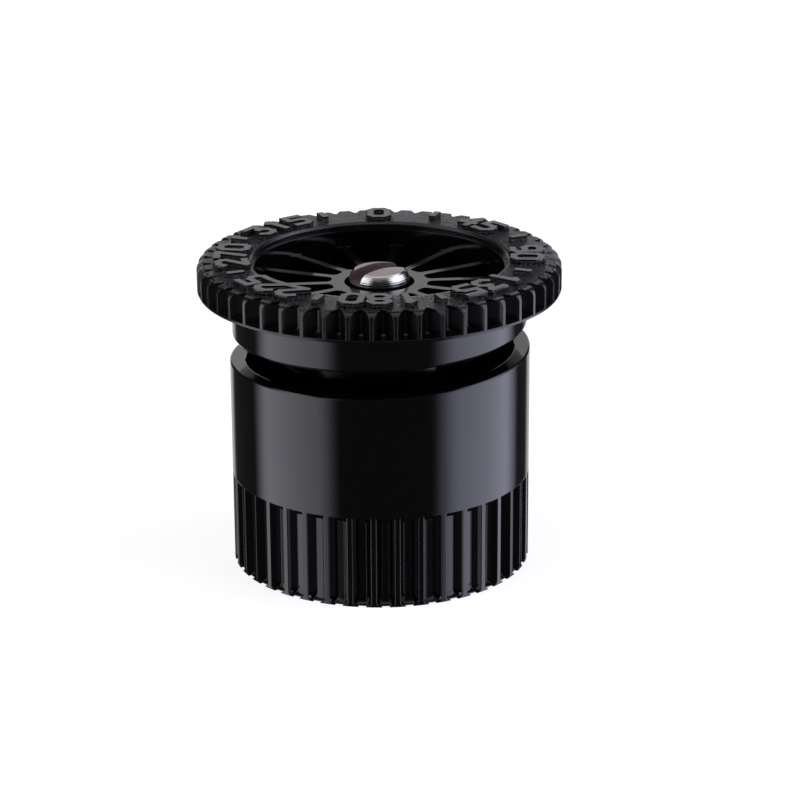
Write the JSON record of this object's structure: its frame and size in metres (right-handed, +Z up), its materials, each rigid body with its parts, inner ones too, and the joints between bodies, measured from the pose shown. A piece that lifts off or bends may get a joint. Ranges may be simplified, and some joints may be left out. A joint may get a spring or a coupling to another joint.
{
  "type": "sprinkler nozzle",
  "caption": "Adjustable-arc spray nozzle for a pop-up sprinkler riser: ribbed threaded skirt, turning deflector head with a toothed grip ring, and a slotted radius screw.",
  "frame": {"origin": "centre of the skirt's bottom rim", "axes": "+Z up along the riser's axis, -Y towards the front"},
  "size_m": [0.027, 0.027, 0.0236],
  "materials": {
    "black_plastic": "semi-gloss moulded black plastic",
    "head_plastic": "semi-gloss moulded black plastic",
    "insert_plastic": "satin moulded plastic",
    "grip_rubber": "matt soft plastic with a spark-eroded top",
    "seal_rubber": "smooth seal rubber",
    "screw_steel": "turned stainless steel",
    "clip_steel": "spring stainless steel"
  },
  "bodies": {
    "base": {"skirt_base": "black_plastic", "inlet_seat": "insert_plastic", "valve_post": "insert_plastic", "retaining_clip": "clip_steel", "riser_gasket": "seal_rubber"},
    "arc_seal": {"arc_o_ring": "seal_rubber"},
    "head": {"deflector_head": "head_plastic", "grip_ring": "grip_rubber"},
    "screw_seal": {"screw_o_ring": "seal_rubber"},
    "screw": {"radius_screw": "screw_steel", "throttle_plug": "insert_plastic"}
  },
  "joints": [
    {"name": "arc_rise", "type": "slide", "parent": "base", "child": "arc_seal", "axis": [0, 0, 1], "range_m": [0, 0.00194]},
    {"name": "arc_turn", "type": "hinge", "parent": "arc_seal", "child": "head", "pos_m": [0, 0, 0.0211], "axis": [0, 0, 1], "range_deg": [0, 360]},
    {"name": "screw_advance", "type": "slide", "parent": "base", "child": "screw_seal", "axis": [0, 0, 1], "range_m": [-0.0012, 0]},
    {"name": "screw_turn", "type": "hinge", "parent": "screw_seal", "child": "screw", "pos_m": [0, 0, 0.0212], "axis": [0, 0, 1], "range_deg": [-720, 0]}
  ],
  "couplings": [
    {"joint": "arc_turn", "follows": "arc_rise", "rad_per_m": 3238.8},
    {"joint": "screw_turn", "follows": "screw_advance", "rad_per_m": 10472}
  ]
}
